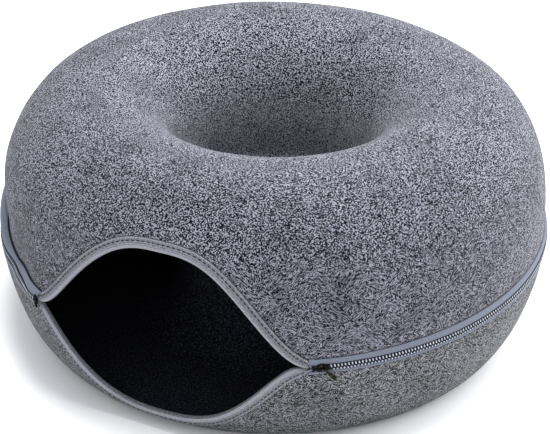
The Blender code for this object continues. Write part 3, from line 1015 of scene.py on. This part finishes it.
def slider_piece(name, shape, finish, replaced):
    points, faces = shape
    placed = [slider_place(*point) for point in points]
    new_piece(name, placed, faces, finish, [replaced])


def bar_tack(middle, low, high, half, count, proud):
    """Threads to and fro across an azimuth, one over another between two heights over the seam."""
    parts = []
    for index in range(count):
        height = low + (high - low) * index / (count - 1)
        lean = TACK_LEAN if index % 2 else -TACK_LEAN
        reach = half * (1.0 if index % 3 else 0.8)
        ends = []
        for side in (-1, 1):
            azimuth = middle + reach * side + 0.12 * math.sin(0.7 * index)
            ends.append(place(azimuth, ZIP_TAPE_RADIUS + proud, seam_height(azimuth) + height + lean * side))
        parts.append(thread(*ends, THREAD * 1.25))
    return parts


def end_tacks(finish):
    """Bar tack of dark thread at the zip's left end, and a small one at its right end."""
    left = bar_tack(middle=-30.0, low=-0.0062, high=0.0068, half=0.50, count=24, proud=0.0041)
    right = bar_tack(middle=31.0, low=-0.0022, high=0.0028, half=0.28, count=6, proud=0.0026)
    points, faces = joined(left + right)
    new_piece("zip_end_tacks", points, faces, finish)


# ---- camera, light and floor ----
def area_light(name, position, target, size, power):
    data = bpy.data.lights.new(name, "AREA")
    data.shape = "DISK"
    data.size = size
    data.energy = power
    light = bpy.data.objects.new(name, data)
    light.location = position
    light.rotation_euler = (Vector(target) - Vector(position)).to_track_quat("-Z", "Y").to_euler()
    bpy.context.scene.collection.objects.link(light)


def studio():
    world = bpy.data.worlds.new("studio")
    bpy.context.scene.world = world
    world.use_nodes = True
    world.node_tree.nodes["Background"].inputs["Color"].default_value = (0.93, 0.95, 1.0, 1)
    world.node_tree.nodes["Background"].inputs["Strength"].default_value = 1.10
    area_light("key", (1.4, 1.4, 1.10), (0, 0, 0.1), 2.2, 66)
    area_light("top", (0, 0, 2.3), (0, 0, 0), 1.2, 58)
    floor_finish = Finish("floor")
    floor_finish.surface((0.94, 0.94, 0.94, 1), 0.9)
    mesh = bpy.data.meshes.new("studio_floor")
    builder = bmesh.new()
    bmesh.ops.create_grid(builder, x_segments=1, y_segments=1, size=6)
    builder.to_mesh(mesh)
    builder.free()
    mesh.materials.append(floor_finish.material)
    floor = bpy.data.objects.new("studio_floor", mesh)
    floor.location.z = -0.0005
    bpy.context.scene.collection.objects.link(floor)


def camera():
    azimuth, elevation, distance = math.radians(23.5), math.radians(29.9), 2.1
    target = RING_AXIS + Vector((0, 0, 0.1111))
    level = math.cos(elevation)
    back = Vector((math.sin(azimuth) * level, -math.cos(azimuth) * level, math.sin(elevation)))
    right = Vector((math.cos(azimuth), math.sin(azimuth), 0))
    up = back.cross(right)
    roll = Matrix.Rotation(math.radians(0.58), 3, "Z")
    turn = Matrix((right, up, back)).transposed() @ roll
    data = bpy.data.cameras.new("camera")
    data.sensor_width = 36
    data.lens = 124.1
    data.shift_x = 0.0017
    data.shift_y = -0.0030
    made = bpy.data.objects.new("camera", data)
    made.matrix_world = Matrix.Translation(target + back * distance) @ turn.to_4x4()
    bpy.context.scene.collection.objects.link(made)
    bpy.context.scene.camera = made


def main():
    bpy.context.scene.view_settings.view_transform = "Standard"
    camera()
    studio()
    heather = (0, 0, 4), (5, 5, 13), (32, 32, 41), (68, 68, 78), (134, 134, 144)
    stone = (0, 0, 3), (4, 5, 8), (29, 30, 34), (66, 67, 71), (135, 136, 140)
    upper_felt = felt_finish("felt_upper_marl", heather)
    lower_felt = felt_finish("felt_lower_marl", stone)
    # painted shade for the felt's inner face
    dark = inside_shade_finish()
    edging = binding_finish()
    woven = zip_finish()
    sewing = thread_finish()
    nylon = tooth_finish()
    body_brass = brass_finish("dark_brass", (10, 9, 8), (26, 24, 19), (84, 80, 66))
    pull_brass = brass_finish("worn_brass", (15, 14, 12), (43, 40, 33), (146, 141, 124))
    for shell, finish in ((UPPER, upper_felt), (LOWER, lower_felt)):
        felt = felt_shell(shell, finish, dark)
        edge = binding(shell, edging)
        stitches = edge_stitches(shell, sewing)
        band = zip_tape(shell, woven)
        zip_teeth(shell, nylon)
        lip_length(shell)
    slider_piece("zip_slider_body", slider_body(), body_brass, "zip_slider")
    slider_piece("zip_pull_tab", pull_tab(), pull_brass, "zip_pull")
    end_tacks(sewing)


main()
